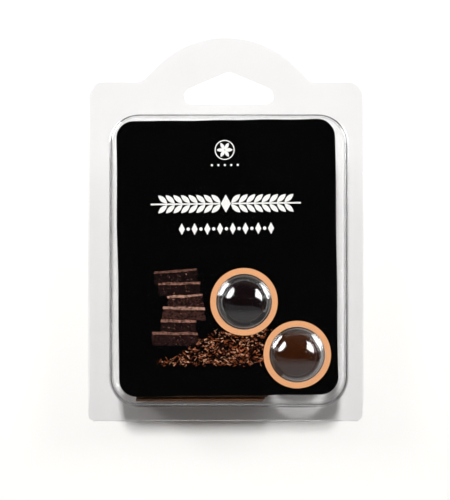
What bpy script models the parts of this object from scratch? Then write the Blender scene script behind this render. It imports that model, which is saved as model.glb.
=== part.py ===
"""A clear clamshell pack for two chocolate balls, lying on its back.

The pack is one thermoformed sheet of clear plastic: a shallow lid and a deeper tray, joined by a fold along
the bottom edge, with a hang tab above. Behind the lid's face lies a printed card with two round windows.
A ball sits in each window, between a cup formed in the tray's floor and a low dome formed in the lid, and
a folded slip of brown paper lies against the tray's lower wall.

Frame: metres, +Z up out of the lid, +Y towards the hang tab, X across. The origin is the middle of the
pack's rectangle, on the surface that the tray stands on.
"""

import math

import bmesh
import bpy

MM = 0.001

# The sheet and the outline that it is cut to
SHEET = 0.4 * MM
FLANGE_GAP = 0.3 * MM
FLANGE_WIDTH = 98.5 * MM
PACK_HEIGHT = 138.0 * MM
TAB_RISE = 16.0 * MM
TAB_RADIUS = 35.0 * MM
TAB_FOOT_RADIUS = 3.0 * MM
SHOULDER_RADIUS = 5.5 * MM
FOLD_CORNER_RADIUS = 1.6 * MM

# The hang hole, a flat-bottomed slot with a low gable
HOLE_WIDTH = 32.2 * MM
HOLE_SIDE = 5.2 * MM
HOLE_GABLE_ANGLE = math.radians(23.0)
HOLE_BOTTOM_Y = 45.0 * MM
HOLE_CORNER_RADIUS = 3.0 * MM
HOLE_APEX_RADIUS = 4.0 * MM

# The chamber, which lid and tray share where they meet the flange
CHAMBER_X = 1.2 * MM
CHAMBER_Y = -11.2 * MM
CHAMBER_WIDTH = 85.0 * MM
CHAMBER_HEIGHT = 104.4 * MM
CHAMBER_CORNER = 10.4 * MM
LID_RISE = 7.0 * MM
LID_DRAFT = math.radians(5.0)
LID_FACE_SHIFT = 0.4 * MM
TRAY_DRAFT = math.radians(5.0)
FLANGE_BEND = 1.0 * MM
LID_EDGE_BEND = 0.9 * MM
TRAY_EDGE_BEND = 2.2 * MM

# The balls and the card's windows, in the card's own turned frame
BALL_RADIUS = 10.0 * MM
REST_GAP = 0.3 * MM
CARD_WIDTH = 78.2 * MM
CARD_HEIGHT = 98.3 * MM
CARD_THICKNESS = 0.35 * MM
CARD_CORNER = 6.2 * MM
CARD_TURN = math.radians(0.7)
CARD_X = CHAMBER_X - 0.55 * MM
CARD_Y = CHAMBER_Y + 1.1 * MM
WINDOW_RADIUS = 9.95 * MM
WINDOWS = {"upper": (5.8 * MM, -15.75 * MM), "lower": (24.55 * MM, -34.8 * MM)}
BALL_OFFSETS = {"upper": (0.15 * MM, -0.15 * MM), "lower": (-0.3 * MM, -0.5 * MM)}

# The cups: a hollow ridge of the tray's floor round each ball
CUP_HEIGHT = 6.0 * MM
CUP_INNER_FOOT = 8.3 * MM
CUP_INNER_TOP = 9.5 * MM
CUP_OUTER_TOP = 10.9 * MM
CUP_OUTER_FOOT = 11.7 * MM
CUP_BEND = 0.5 * MM

# The low domes of the lid over the windows: a gently curved crown, a rounded shoulder and a small foot bend
DOME_FOOT = 9.95 * MM
DOME_FOOT_BEND = 0.6 * MM
DOME_SHOULDER = 3.5 * MM
DOME_CROWN = 26.0 * MM
DOME_SLOPE = math.radians(60.0)
DOME_CROWN_END = 1.2 * MM
DOME_GAP = 0.35 * MM

# The folded slip of brown paper
SLIP_LEFT_X = -32.0 * MM
SLIP_RIGHT_X = 13.2 * MM
SLIP_END_SLANT = 1.1
SLIP_HEIGHT = 15.0 * MM
SLIP_LAYERS = 4
SLIP_PAPER = 0.3 * MM
SLIP_PITCH = 0.75 * MM
SLIP_LEAN = math.radians(2.0)
SLIP_OUTER_Y = -60.8 * MM

# The domes' shoulder arc, worked out from where the foot bend ends, and the tilt where the crown meets it
DOME_ARC_RADIUS = DOME_FOOT - (DOME_FOOT_BEND + DOME_SHOULDER) * math.sin(DOME_SLOPE)
DOME_ARC_LEVEL = DOME_FOOT_BEND - (DOME_FOOT_BEND + DOME_SHOULDER) * math.cos(DOME_SLOPE)
DOME_CROWN_TILT = math.asin(DOME_ARC_RADIUS / (DOME_CROWN - DOME_SHOULDER))
DOME_CROWN_LEVEL = DOME_ARC_LEVEL + (DOME_SHOULDER - DOME_CROWN) * math.cos(DOME_CROWN_TILT)
DOME_RISE = DOME_CROWN_LEVEL + DOME_CROWN

# Levels above the surface that the tray stands on
BALL_Z = SHEET + REST_GAP + BALL_RADIUS
LID_UNDER_Z = BALL_Z + BALL_RADIUS + DOME_GAP - DOME_RISE
LID_TOP_Z = LID_UNDER_Z + SHEET
LID_FLANGE_TOP = LID_TOP_Z - LID_RISE
LID_FLANGE_UNDER = LID_FLANGE_TOP - SHEET
TRAY_FLANGE_TOP = LID_FLANGE_UNDER - FLANGE_GAP
TRAY_FLANGE_UNDER = TRAY_FLANGE_TOP - SHEET
CARD_TOP_Z = LID_UNDER_Z - REST_GAP
FOLD_RADIUS = (LID_FLANGE_TOP - TRAY_FLANGE_UNDER) / 2
OUTLINE_BOTTOM_Y = -PACK_HEIGHT / 2 + FOLD_RADIUS
SHOULDER_Y = PACK_HEIGHT / 2 - TAB_RISE

# How finely arcs are drawn, as the largest turn between two points
OUTLINE_STEP = math.radians(9.0)
BEND_STEP = math.radians(28.0)
CHAMBER_CORNER_STEPS = 6
CUP_BEND_STEP = math.radians(45.0)
CUP_STEPS = 28
WINDOW_STEPS = 36
DOME_FOOT_STEPS = 2
DOME_SHOULDER_STEPS = 3
DOME_CROWN_STEPS = 2
FOLD_STEPS = 6
SLIP_FOLD_STEPS = 4
BALL_SEGMENTS = 28
BALL_RINGS = 16


def rounded(points, step, closed=True):
    """The polygon or open line through points, each (x, y, radius), with its corners turned into arcs."""
    line = []
    count = len(points)
    for i, (x, y, radius) in enumerate(points):
        if radius == 0 or (not closed and i in (0, count - 1)):
            line.append((x, y))
            continue
        before = points[i - 1]
        after = points[(i + 1) % count]
        heading_in = math.atan2(y - before[1], x - before[0])
        heading_out = math.atan2(after[1] - y, after[0] - x)
        turn = (heading_out - heading_in + math.pi) % (2 * math.pi) - math.pi
        tangent = radius * math.tan(abs(turn) / 2)
        side = math.copysign(1, turn)
        start = (x - tangent * math.cos(heading_in), y - tangent * math.sin(heading_in))
        centre = (
            start[0] - side * radius * math.sin(heading_in),
            start[1] + side * radius * math.cos(heading_in),
        )
        steps = max(2, math.ceil(abs(turn) / step))
        for k in range(steps + 1):
            heading = heading_in + turn * k / steps
            line.append(
                (
                    centre[0] + side * radius * math.sin(heading),
                    centre[1] - side * radius * math.cos(heading),
                )
            )
    return line


def offset(line, distance):
    """An open line moved to its left by distance, with mitred corners."""
    moved = []
    last = len(line) - 1
    for i, (x, y) in enumerate(line):
        normal_x = 0.0
        normal_y = 0.0
        for a in (max(i - 1, 0), min(i, last - 1)):
            heading = math.atan2(line[a + 1][1] - line[a][1], line[a + 1][0] - line[a][0])
            normal_x -= math.sin(heading)
            normal_y += math.cos(heading)
        reach = 2 * distance / (normal_x**2 + normal_y**2)
        moved.append((x + normal_x * reach, y + normal_y * reach))
    return moved


def pack_outline():
    """The flange's outline, anticlockwise from the fold's right end round to its left end.

    It has two shoulders and a hang tab with a domed top and straight sides at 45 degrees.
    """
    half = FLANGE_WIDTH / 2
    tab_corner = TAB_RISE + TAB_RADIUS * (math.sqrt(2) - 1)
    corners = [
        (-half, OUTLINE_BOTTOM_Y, FOLD_CORNER_RADIUS),
        (half, OUTLINE_BOTTOM_Y, FOLD_CORNER_RADIUS),
        (half, SHOULDER_Y, SHOULDER_RADIUS),
        (tab_corner, SHOULDER_Y, TAB_FOOT_RADIUS),
        (0.0, SHOULDER_Y + tab_corner, TAB_RADIUS),
        (-tab_corner, SHOULDER_Y, TAB_FOOT_RADIUS),
        (-half, SHOULDER_Y, SHOULDER_RADIUS),
    ]
    line = rounded(corners, OUTLINE_STEP)
    fold_corner_points = math.ceil(math.radians(90) / OUTLINE_STEP) + 1
    return line[fold_corner_points:] + line[:fold_corner_points]


def hang_hole():
    """The hang hole's outline: a flat sill, round ends and a low gable."""
    half = HOLE_WIDTH / 2
    eaves = HOLE_BOTTOM_Y + HOLE_SIDE
    corners = [
        (CHAMBER_X - half, HOLE_BOTTOM_Y, HOLE_CORNER_RADIUS),
        (CHAMBER_X + half, HOLE_BOTTOM_Y, HOLE_CORNER_RADIUS),
        (CHAMBER_X + half, eaves, HOLE_CORNER_RADIUS),
        (CHAMBER_X, eaves + half * math.tan(HOLE_GABLE_ANGLE), HOLE_APEX_RADIUS),
        (CHAMBER_X - half, eaves, HOLE_CORNER_RADIUS),
    ]
    return rounded(corners, OUTLINE_STEP)


def rounded_rectangle(centre, half_width, half_height, radius, steps):
    """A rounded rectangle with the same number of points whatever its size, anticlockwise."""
    points = []
    for quarter, (sx, sy) in enumerate(((1, 1), (-1, 1), (-1, -1), (1, -1))):
        for k in range(steps + 1):
            angle = math.pi / 2 * (quarter + k / steps)
            x = sx * (half_width - radius) + radius * math.cos(angle)
            y = sy * (half_height - radius) + radius * math.sin(angle)
            points.append((centre[0] + x, centre[1] + y))
    return points


def circle(centre, radius, steps):
    """A circle's points, anticlockwise."""
    angles = [2 * math.pi * k / steps for k in range(steps)]
    return [(centre[0] + radius * math.cos(a), centre[1] + radius * math.sin(a)) for a in angles]


def chamber_rings(rise, draft, edge_bend, flange_z, face_shift):
    """The rings of one chamber's wall as (under side, upper side) lists of (inset, level), from flange to face.

    The wall's middle line runs in from the flange, bends, climbs by rise with its draft, and bends level.
    """
    run = abs(rise) * math.tan(draft)
    corners = [
        (-2 * FLANGE_BEND, 0.0, 0.0),
        (0.0, 0.0, FLANGE_BEND),
        (run, rise, edge_bend),
        (run + 2 * edge_bend, rise, 0.0),
    ]
    middle = rounded(corners, BEND_STEP, closed=False)[1:-1]
    sides = []
    for distance in (-SHEET / 2, SHEET / 2):
        rings = []
        for inset, level in offset(middle, distance):
            share = min(max(level / rise, 0.0), 1.0)
            ring = rounded_rectangle(
                (CHAMBER_X, CHAMBER_Y + face_shift * share),
                CHAMBER_WIDTH / 2 - inset,
                CHAMBER_HEIGHT / 2 - inset,
                CHAMBER_CORNER - inset,
                CHAMBER_CORNER_STEPS,
            )
            rings.append([(x, y, flange_z + level) for x, y in ring])
        sides.append(rings)
    return sides


def turned(point):
    """A point of the card's own frame, in the pack's frame."""
    x, y = point
    return (
        CARD_X + x * math.cos(CARD_TURN) - y * math.sin(CARD_TURN),
        CARD_Y + x * math.sin(CARD_TURN) + y * math.cos(CARD_TURN),
    )


def ball_centre(name):
    """Where a ball stands, seen from above."""
    window = turned(WINDOWS[name])
    return window[0] + BALL_OFFSETS[name][0], window[1] + BALL_OFFSETS[name][1]


def round_rings(middle, centre, level):
    """Circles round an axis along a profile's two sides, as (under side, upper side) lists.

    The profile is the sheet's middle line as (radius, height over level) points, from its outer foot inwards.
    """
    sides = []
    for distance in (SHEET / 2, -SHEET / 2):
        rings = []
        for radius, height in offset(middle, distance):
            rings.append([(x, y, level + height) for x, y in circle(centre, radius, CUP_STEPS)])
        sides.append(rings)
    return sides


def cup_profile():
    """The middle line of a cup's ridge, which rises from the tray's floor and comes down to it again."""
    corners = [
        (CUP_OUTER_FOOT + 2 * CUP_BEND, 0.0, 0.0),
        (CUP_OUTER_FOOT, 0.0, CUP_BEND),
        (CUP_OUTER_TOP, CUP_HEIGHT, CUP_BEND),
        (CUP_INNER_TOP, CUP_HEIGHT, CUP_BEND),
        (CUP_INNER_FOOT, 0.0, CUP_BEND),
        (CUP_INNER_FOOT - 2 * CUP_BEND, 0.0, 0.0),
    ]
    return rounded(corners, CUP_BEND_STEP, closed=False)[1:-1]


def dome_profile():
    """The middle line of a dome: three arcs that meet without a kink, each drawn by its tilt."""
    profile = []
    for k in range(DOME_FOOT_STEPS + 1):
        tilt = DOME_SLOPE * k / DOME_FOOT_STEPS
        profile.append((DOME_FOOT - DOME_FOOT_BEND * math.sin(tilt), DOME_FOOT_BEND * (1 - math.cos(tilt))))
    for k in range(1, DOME_SHOULDER_STEPS + 1):
        tilt = DOME_SLOPE + (DOME_CROWN_TILT - DOME_SLOPE) * k / DOME_SHOULDER_STEPS
        radius = DOME_ARC_RADIUS + DOME_SHOULDER * math.sin(tilt)
        profile.append((radius, DOME_ARC_LEVEL + DOME_SHOULDER * math.cos(tilt)))
    last_tilt = math.asin(DOME_CROWN_END / DOME_CROWN)
    for k in range(1, DOME_CROWN_STEPS + 1):
        tilt = DOME_CROWN_TILT + (last_tilt - DOME_CROWN_TILT) * k / DOME_CROWN_STEPS
        profile.append((DOME_CROWN * math.sin(tilt), DOME_CROWN_LEVEL + DOME_CROWN * math.cos(tilt)))
    return profile


def add_loop(mesh, points):
    """Adds a closed loop of vertices and its edges."""
    vertices = [mesh.verts.new(point) for point in points]
    for a, b in zip(vertices, vertices[1:] + vertices[:1]):
        mesh.edges.new((a, b))
    return vertices


def bridge(mesh, first, second, closed=True):
    """Joins two rows of vertices with quads, point to point."""
    count = len(first)
    for i in range(count if closed else count - 1):
        j = (i + 1) % count
        mesh.faces.new((first[i], first[j], second[j], second[i]))


def fill(mesh, loops):
    """Fills the flat region between an outer loop and the loops inside it."""
    edges = []
    for loop in loops:
        for a, b in zip(loop, loop[1:] + loop[:1]):
            edges.append(mesh.edges.get((a, b)))
    bmesh.ops.triangle_fill(mesh, use_beauty=True, edges=edges)


def level_points(line, z):
    """The points of a flat line, at height z."""
    return [(x, y, z) for x, y in line]


def material(name, colour, roughness, transmission=0.0):
    """A Principled material, its colour linear."""
    made = bpy.data.materials.new(name)
    made.use_nodes = True
    shader = made.node_tree.nodes["Principled BSDF"]
    shader.inputs["Base Color"].default_value = (*colour, 1.0)
    shader.inputs["Roughness"].default_value = roughness
    shader.inputs["Metallic"].default_value = 0.0
    shader.inputs["Transmission Weight"].default_value = transmission
    return made


def finish_object(name, mesh, finish):
    """Turns a closed bmesh into a smooth-shaded object with its faces pointing out."""
    bmesh.ops.recalc_face_normals(mesh, faces=mesh.faces)
    data = bpy.data.meshes.new(name)
    mesh.to_mesh(data)
    mesh.free()
    data.shade_smooth()
    data.set_sharp_from_angle(angle=math.radians(35))
    data.materials.append(finish)
    made = bpy.data.objects.new(name, data)
    bpy.context.scene.collection.objects.link(made)
    return made


def flange_side(mesh, outline, hole, chamber_ring, z):
    """One flat side of a flange: its outline, its hang hole and the foot of the chamber's wall."""
    outline_loop = add_loop(mesh, level_points(outline, z))
    hole_loop = add_loop(mesh, level_points(hole, z))
    fill(mesh, [outline_loop, hole_loop, chamber_ring])
    return outline_loop, hole_loop


def add_wall(mesh, rings):
    """The rings of a wall, joined into one surface. Returns each ring's vertices."""
    loops = [add_loop(mesh, ring) for ring in rings]
    for first, second in zip(loops, loops[1:]):
        bridge(mesh, first, second)
    return loops


def fold_arc(x, radius):
    """The points of the fold's half circle at one end, from the lid's flange round to the tray's."""
    middle_z = (LID_FLANGE_TOP + TRAY_FLANGE_UNDER) / 2
    angles = [math.pi * k / FOLD_STEPS for k in range(1, FOLD_STEPS)]
    return [(x, OUTLINE_BOTTOM_Y - radius * math.sin(a), middle_z + radius * math.cos(a)) for a in angles]


def make_clamshell(finish):
    """Lid, fold and tray, formed from one sheet and cut to one outline."""
    mesh = bmesh.new()
    outline, hole = pack_outline(), hang_hole()
    levels = (LID_FLANGE_TOP, LID_FLANGE_UNDER, TRAY_FLANGE_TOP, TRAY_FLANGE_UNDER)

    lid_under, lid_upper = chamber_rings(
        LID_RISE, LID_DRAFT, LID_EDGE_BEND, LID_FLANGE_TOP - SHEET / 2, LID_FACE_SHIFT
    )
    tray_rise = SHEET / 2 - (TRAY_FLANGE_UNDER + SHEET / 2)
    tray_under, tray_upper = chamber_rings(
        tray_rise, TRAY_DRAFT, TRAY_EDGE_BEND, TRAY_FLANGE_TOP - SHEET / 2, 0.0
    )
    walls = [add_wall(mesh, rings) for rings in (lid_upper, lid_under, tray_upper, tray_under)]

    sides = []
    for wall, z in zip(walls, levels):
        sides.append(flange_side(mesh, outline, hole, wall[0], z))

    # The lid's face has a dome over each window, and the tray's floor a cup under each ball
    lid_level = LID_TOP_Z - SHEET / 2
    domes = [round_rings(dome_profile(), turned(window), lid_level) for window in WINDOWS.values()]
    cups = [round_rings(cup_profile(), ball_centre(name), SHEET / 2) for name in WINDOWS]
    for wall, forms, side in zip(walls, (domes, domes, cups, cups), (1, 0, 1, 0)):
        formed = [add_wall(mesh, form[side]) for form in forms]
        fill(mesh, [wall[-1]] + [rings[0] for rings in formed])
        for rings in formed:
            fill(mesh, [rings[-1]])

    # The sheet's cut edge round each flange, open where the fold runs, and round each hang hole
    for upper, under in ((0, 1), (2, 3)):
        bridge(mesh, sides[upper][0], sides[under][0], closed=False)
        bridge(mesh, sides[upper][1], sides[under][1])

    # The fold joins the lid's flange to the tray's, outside and inside, along the straight bottom edge
    arcs = []
    for end in (-1, 0):
        x = sides[0][0][end].co.x
        outer = [mesh.verts.new(point) for point in fold_arc(x, FOLD_RADIUS)]
        inner = [mesh.verts.new(point) for point in fold_arc(x, FLANGE_GAP / 2)]
        arcs.append(
            (
                [sides[0][0][end]] + outer + [sides[3][0][end]],
                [sides[1][0][end]] + inner + [sides[2][0][end]],
            )
        )
    (left_outer, left_inner), (right_outer, right_inner) = arcs
    bridge(mesh, left_outer, right_outer, closed=False)
    bridge(mesh, left_inner, right_inner, closed=False)
    bridge(mesh, left_outer, left_inner, closed=False)
    bridge(mesh, right_outer, right_inner, closed=False)
    return finish_object("clamshell", mesh, finish)


def make_card(finish):
    """The printed card: a rounded rectangle with two round windows, turned a little in the lid."""
    mesh = bmesh.new()
    edge = rounded_rectangle(
        (0.0, 0.0), CARD_WIDTH / 2, CARD_HEIGHT / 2, CARD_CORNER, CHAMBER_CORNER_STEPS
    )
    lines = [edge] + [circle(centre, WINDOW_RADIUS, WINDOW_STEPS) for centre in WINDOWS.values()]
    lines = [[turned(point) for point in line] for line in lines]
    upper = [add_loop(mesh, level_points(line, CARD_TOP_Z)) for line in lines]
    under = [add_loop(mesh, level_points(line, CARD_TOP_Z - CARD_THICKNESS)) for line in lines]
    fill(mesh, upper)
    fill(mesh, under)
    for first, second in zip(upper, under):
        bridge(mesh, first, second)
    return finish_object("label_card", mesh, finish)


def make_ball(name, finish):
    """One ball, resting in its cup."""
    mesh = bmesh.new()
    bmesh.ops.create_uvsphere(
        mesh, u_segments=BALL_SEGMENTS, v_segments=BALL_RINGS, radius=BALL_RADIUS
    )
    made = finish_object("ball_" + name, mesh, finish)
    made.location = (*ball_centre(name), BALL_Z)
    return made


def slip_section():
    """The slip's folded section as (across, up) points: layers running up and down, joined by half turns."""
    fold = SLIP_PITCH / 2
    path = []
    for layer in range(SLIP_LAYERS):
        across = layer * SLIP_PITCH
        rising = layer % 2 == 0
        levels = (fold, SLIP_HEIGHT - fold)
        start, stop = levels if rising else levels[::-1]
        path += [(across, start), (across, stop)]
        if layer == SLIP_LAYERS - 1:
            break
        for k in range(1, SLIP_FOLD_STEPS):
            angle = math.pi * k / SLIP_FOLD_STEPS
            reach = fold * math.sin(angle) * (1 if rising else -1)
            path.append((across + fold * (1 - math.cos(angle)), stop + reach))
    return offset(path, SLIP_PAPER / 2) + offset(path, -SLIP_PAPER / 2)[::-1]


def make_slip(finish):
    """The brown slip, folded to and fro and stood on its edge, leaning on the tray's lower wall."""
    mesh = bmesh.new()
    ends = []
    for end_x, slant in ((SLIP_LEFT_X, 0.0), (SLIP_RIGHT_X, SLIP_END_SLANT)):
        points = []
        for across, up in slip_section():
            y = SLIP_OUTER_Y + across * math.cos(SLIP_LEAN) - up * math.sin(SLIP_LEAN)
            z = SHEET + REST_GAP + SLIP_PAPER / 2 + across * math.sin(SLIP_LEAN) + up * math.cos(SLIP_LEAN)
            points.append((end_x + slant * across, y, z))
        ends.append(add_loop(mesh, points))
        fill(mesh, [ends[-1]])
    bridge(mesh, ends[0], ends[1])
    return finish_object("paper_slip", mesh, finish)


def main():
    for old in list(bpy.data.objects):
        bpy.data.objects.remove(old)
    clear = material("clear_sheet", (0.92, 0.93, 0.94), 0.05, transmission=1.0)
    print_black = material("printed_card", (0.004, 0.004, 0.004), 0.4)
    dark = material("dark_chocolate", (0.014, 0.009, 0.008), 0.12)
    milk = material("milk_chocolate", (0.045, 0.018, 0.007), 0.12)
    brown_paper = material("brown_paper", (0.16, 0.07, 0.03), 0.7)
    make_clamshell(clear)
    make_card(print_black)
    make_ball("upper", dark)
    make_ball("lower", milk)
    make_slip(brown_paper)


main()
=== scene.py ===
# %% [markdown]
# A clear hang pack with two glossy chocolate balls, as it would lie on a photographer's white table.
# The real pack is one sheet of clear polyester, heated and drawn over a mould: a shallow lid and a deeper
# tray, folded together. A black card lies in the lid, the balls sit in cups behind its windows, and a folded
# brown slip stands against the tray's lower wall. The shapes are arrays: each surface is a function of two
# parameters, worked out with numpy in millimetres, and turned into a mesh in one step.

import math

import bmesh
import bpy
import numpy as np
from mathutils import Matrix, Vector
from mathutils.geometry import delaunay_2d_cdt


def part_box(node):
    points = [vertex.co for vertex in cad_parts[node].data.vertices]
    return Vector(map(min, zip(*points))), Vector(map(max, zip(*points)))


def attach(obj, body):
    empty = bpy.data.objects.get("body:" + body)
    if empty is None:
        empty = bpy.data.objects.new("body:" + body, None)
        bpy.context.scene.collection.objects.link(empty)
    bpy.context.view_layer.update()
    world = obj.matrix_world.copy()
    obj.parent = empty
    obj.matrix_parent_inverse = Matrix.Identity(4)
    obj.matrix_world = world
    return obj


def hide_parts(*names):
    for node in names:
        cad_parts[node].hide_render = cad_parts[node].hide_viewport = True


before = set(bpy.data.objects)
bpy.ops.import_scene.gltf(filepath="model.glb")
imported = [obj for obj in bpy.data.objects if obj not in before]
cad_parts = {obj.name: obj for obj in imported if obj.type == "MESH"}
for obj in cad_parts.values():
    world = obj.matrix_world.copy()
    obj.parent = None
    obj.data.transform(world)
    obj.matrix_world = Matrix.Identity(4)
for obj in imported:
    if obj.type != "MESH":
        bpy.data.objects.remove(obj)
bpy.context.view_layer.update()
MM = 0.001

# %% [markdown]
# Meshes come first. A piece is an array of points and arrays of faces. The points of neighbouring surfaces
# coincide where they meet, so merging by distance sews the surfaces into one skin, and recalculating the
# normals then points every face outwards.

# %% Make a mesh piece
MERGE_DISTANCE = 0.0002 * MM


def add_piece(name, parts, material, replaced=(), smooth=True):
    """A mesh object at the origin that rides on the body, sewn from parts.

    A part is an (n, 3) array of points in millimetres and one or more arrays of faces that number them.
    """
    points = np.vstack([part[0] for part in parts]) * MM
    starts = np.cumsum([0] + [len(part[0]) for part in parts[:-1]])
    faces = []
    for start, part in zip(starts, parts):
        for block in part[1:]:
            faces += (np.asarray(block) + start).tolist()
    mesh = bpy.data.meshes.new(name)
    mesh.from_pydata(points.tolist(), [], faces)
    sewn = bmesh.new()
    sewn.from_mesh(mesh)
    bmesh.ops.remove_doubles(sewn, verts=sewn.verts, dist=MERGE_DISTANCE)
    bmesh.ops.recalc_face_normals(sewn, faces=sewn.faces)
    sewn.to_mesh(mesh)
    sewn.free()
    if smooth:
        mesh.shade_smooth()
    mesh.materials.append(material)
    piece = bpy.data.objects.new(name, mesh)
    bpy.context.scene.collection.objects.link(piece)
    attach(piece, "root")
    if replaced:
        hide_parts(*replaced)
    print(name, len(mesh.polygons), "faces")
    return piece


def grid_faces(rows, columns, closed=True):
    """The quads of a grid of points numbered along its rows. Where closed, each row's end meets its start."""
    i = np.arange(rows - 1)[:, None]
    j = np.arange(columns if closed else columns - 1)[None, :]
    following = (j + 1) % columns
    corners = (i * columns + j, i * columns + following, (i + 1) * columns + following, (i + 1) * columns + j)
    return np.stack(np.broadcast_arrays(*corners), axis=-1).reshape(-1, 4)


print("a closed grid of 3 rows of 4 points has", len(grid_faces(3, 4)), "faces")

# %% [markdown]
# Outlines are straight stretches with round corners. A corner's arc starts a tangent's length before the
# corner and turns towards the next heading, which is all the geometry that a cutting die or a mould needs.


# %% Draw lines with round corners
def bent_line(corners, step=math.radians(9), closed=False):
    """The line through corners, each (x, y, radius), with arcs of those radii, as an (n, 2) array.

    An arc of radius r leaves heading a at r * tan(turn / 2) before its corner. After turning by t it stands
    at start + r * (sin t * a + (1 - cos t) * n), where n is at right angles to a on the side it turns to.
    """
    corners = np.array(corners, dtype=float)
    count = len(corners)
    line = []
    for i, (x, y, radius) in enumerate(corners):
        corner = np.array((x, y))
        if radius == 0 or (not closed and i in (0, count - 1)):
            line.append(corner[None])
            continue
        into = corner - corners[i - 1, :2]
        out = corners[(i + 1) % count, :2] - corner
        into /= np.linalg.norm(into)
        out /= np.linalg.norm(out)
        turn = math.acos(np.clip(into @ out, -1, 1))
        side = (out - into * math.cos(turn)) / math.sin(turn)
        start = corner - into * radius * math.tan(turn / 2)
        t = np.linspace(0, turn, max(3, math.ceil(turn / step) + 1))[:, None]
        line.append(start + radius * (np.sin(t) * into + (1 - np.cos(t)) * side))
    return np.vstack(line)


def divided(line, longest, closed=False):
    """The same line with points added, so that no step is longer than longest."""
    following = np.roll(line, -1, axis=0) if closed else line[1:]
    starts = line if closed else line[:-1]
    steps = following - starts
    counts = np.maximum(1, np.ceil(np.linalg.norm(steps, axis=1) / longest - 0.001)).astype(int)
    which = np.repeat(np.arange(len(starts)), counts)
    share = (np.arange(len(which)) - np.repeat(np.cumsum(counts) - counts, counts)) / counts[which]
    points = starts[which] + share[:, None] * steps[which]
    return points if closed else np.vstack([points, line[-1:]])


right_angle = bent_line([(0, 0, 0), (10, 0, 4), (10, 10, 0)])
print("a right angle has", len(right_angle), "points, and divided", len(divided(right_angle, 1.0)))

# %% [markdown]
# Flat stretches with holes, such as the flange, are triangulated between their outlines. A few hundred points
# are strewn inside them, so that the flat can take the slight waves of a drawn sheet.


# %% Fill a flat stretch between outlines
def within(points, outline):
    """Which points lie inside an outline: a ray from them along +X crosses it an odd number of times."""
    x, y = points[:, :1], points[:, 1:]
    ax, ay = outline.T
    bx, by = np.roll(outline, -1, axis=0).T
    spans = (ay > y) != (by > y)
    with np.errstate(divide="ignore", invalid="ignore"):
        crossing = ax + (y - ay) * (bx - ax) / (by - ay)
    return (spans & (x < crossing)).sum(axis=1) % 2 == 1


def fill_flat(outline, holes=(), spacing=2.2):
    """(points, triangles) of the flat region inside outline and outside holes.

    Inner points are strewn in it: a grid of that spacing, with every other row moved by half a step.
    """
    low, high = outline.min(axis=0), outline.max(axis=0)
    row_y = np.arange(low[1] + spacing / 2, high[1], spacing * 0.87)
    column_x = np.arange(low[0], high[0], spacing)
    x = column_x[None, :] + (np.arange(len(row_y)) % 2)[:, None] * spacing / 2
    inner = np.stack([x, np.broadcast_to(row_y[:, None], x.shape)], axis=-1).reshape(-1, 2)
    loops = [outline, *holes]
    rim = np.vstack(loops)
    clear = within(inner, outline)
    for hole in holes:
        clear &= ~within(inner, hole)
    inner = inner[clear]
    nearest = np.min(np.linalg.norm(inner[:, None] - rim[None], axis=2), axis=1)
    inner = inner[nearest > spacing * 0.45]
    edges = []
    start = 0
    for loop in loops:
        index = np.arange(len(loop))
        edges += (np.stack([index, (index + 1) % len(loop)], axis=1) + start).tolist()
        start += len(loop)
    given = np.vstack([rim, inner])
    _, _, triangles, origin, _, _ = delaunay_2d_cdt([Vector(p) for p in given], edges, [], 1, 1e-5)
    points = given[[ids[0] for ids in origin]]
    triangles = np.array(triangles)
    middle = points[triangles].mean(axis=1)
    keep = within(middle, outline)
    for hole in holes:
        keep &= ~within(middle, hole)
    return points, triangles[keep]


def at_level(points, z):
    """Flat points lifted to height z."""
    return np.column_stack([points, np.full(len(points), z)])


square = np.array(((0.0, 0.0), (10.0, 0.0), (10.0, 10.0), (0.0, 10.0)))
print("a square of 10 mm fills with", len(fill_flat(square)[1]), "triangles")

# %% [markdown]
# The pack's sizes in millimetres. The flange is 98.5 mm wide and the pack 138 mm high. Levels are those of
# the sheet's middle, because the skin is drawn there and then thickened to both sides.

# %% State the pack's sizes
SHEET = 0.4
FLANGE_WIDTH = 98.5
OUTLINE_BOTTOM_Y = -68.45
SHOULDER_Y = 53.0
TAB_RISE = 16.0
TAB_RADIUS = 35.0
CHAMBER_CENTRE = np.array((1.2, -11.2))
CHAMBER_SIZE = np.array((85.0, 104.4))
CHAMBER_CORNER = 10.4
LID_FACE_SHIFT = np.array((0.0, 0.4))
LID_RISE = 7.0
WALL_DRAFT = math.radians(5)
LID_EDGE_BEND, TRAY_EDGE_BEND = 0.9, 2.2
BALL_RADIUS = 10.0
CARD_TURN = math.radians(0.7)
CARD_CENTRE = np.array((0.65, -10.1))
WINDOW_RADIUS = 9.95
WINDOWS = {"upper": np.array((5.8, -15.75)), "lower": np.array((24.55, -34.8))}
EDGE_MISMATCH, HOLE_MISMATCH = 0.45, 0.12
CARD_GAP, FLANGE_GAP = 0.3, 0.3


def middle_of(node):
    """The middle of a CAD node's box, in millimetres."""
    low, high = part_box(node)
    return (np.array(low) + np.array(high)) / 2 / MM


def turned_with_card(points):
    """Points of the card's own frame, in the pack's frame: turned by the card's angle, then moved."""
    cosine, sine = math.cos(CARD_TURN), math.sin(CARD_TURN)
    return points @ np.array(((cosine, sine), (-sine, cosine))) + CARD_CENTRE


card_low, card_high = (np.array(corner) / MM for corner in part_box("label_card"))
pack_low, pack_high = (np.array(corner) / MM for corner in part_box("clamshell"))
ball_middles = {name: middle_of("ball_" + name) for name in WINDOWS}
TRAY_LEVEL = SHEET / 2
LID_LEVEL = card_high[2] + CARD_GAP + SHEET / 2
LID_FLANGE_LEVEL = LID_LEVEL - LID_RISE
TRAY_FLANGE_LEVEL = LID_FLANGE_LEVEL - SHEET - FLANGE_GAP
print("levels", LID_LEVEL, LID_FLANGE_LEVEL, TRAY_FLANGE_LEVEL, "pack", pack_low, pack_high)

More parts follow.
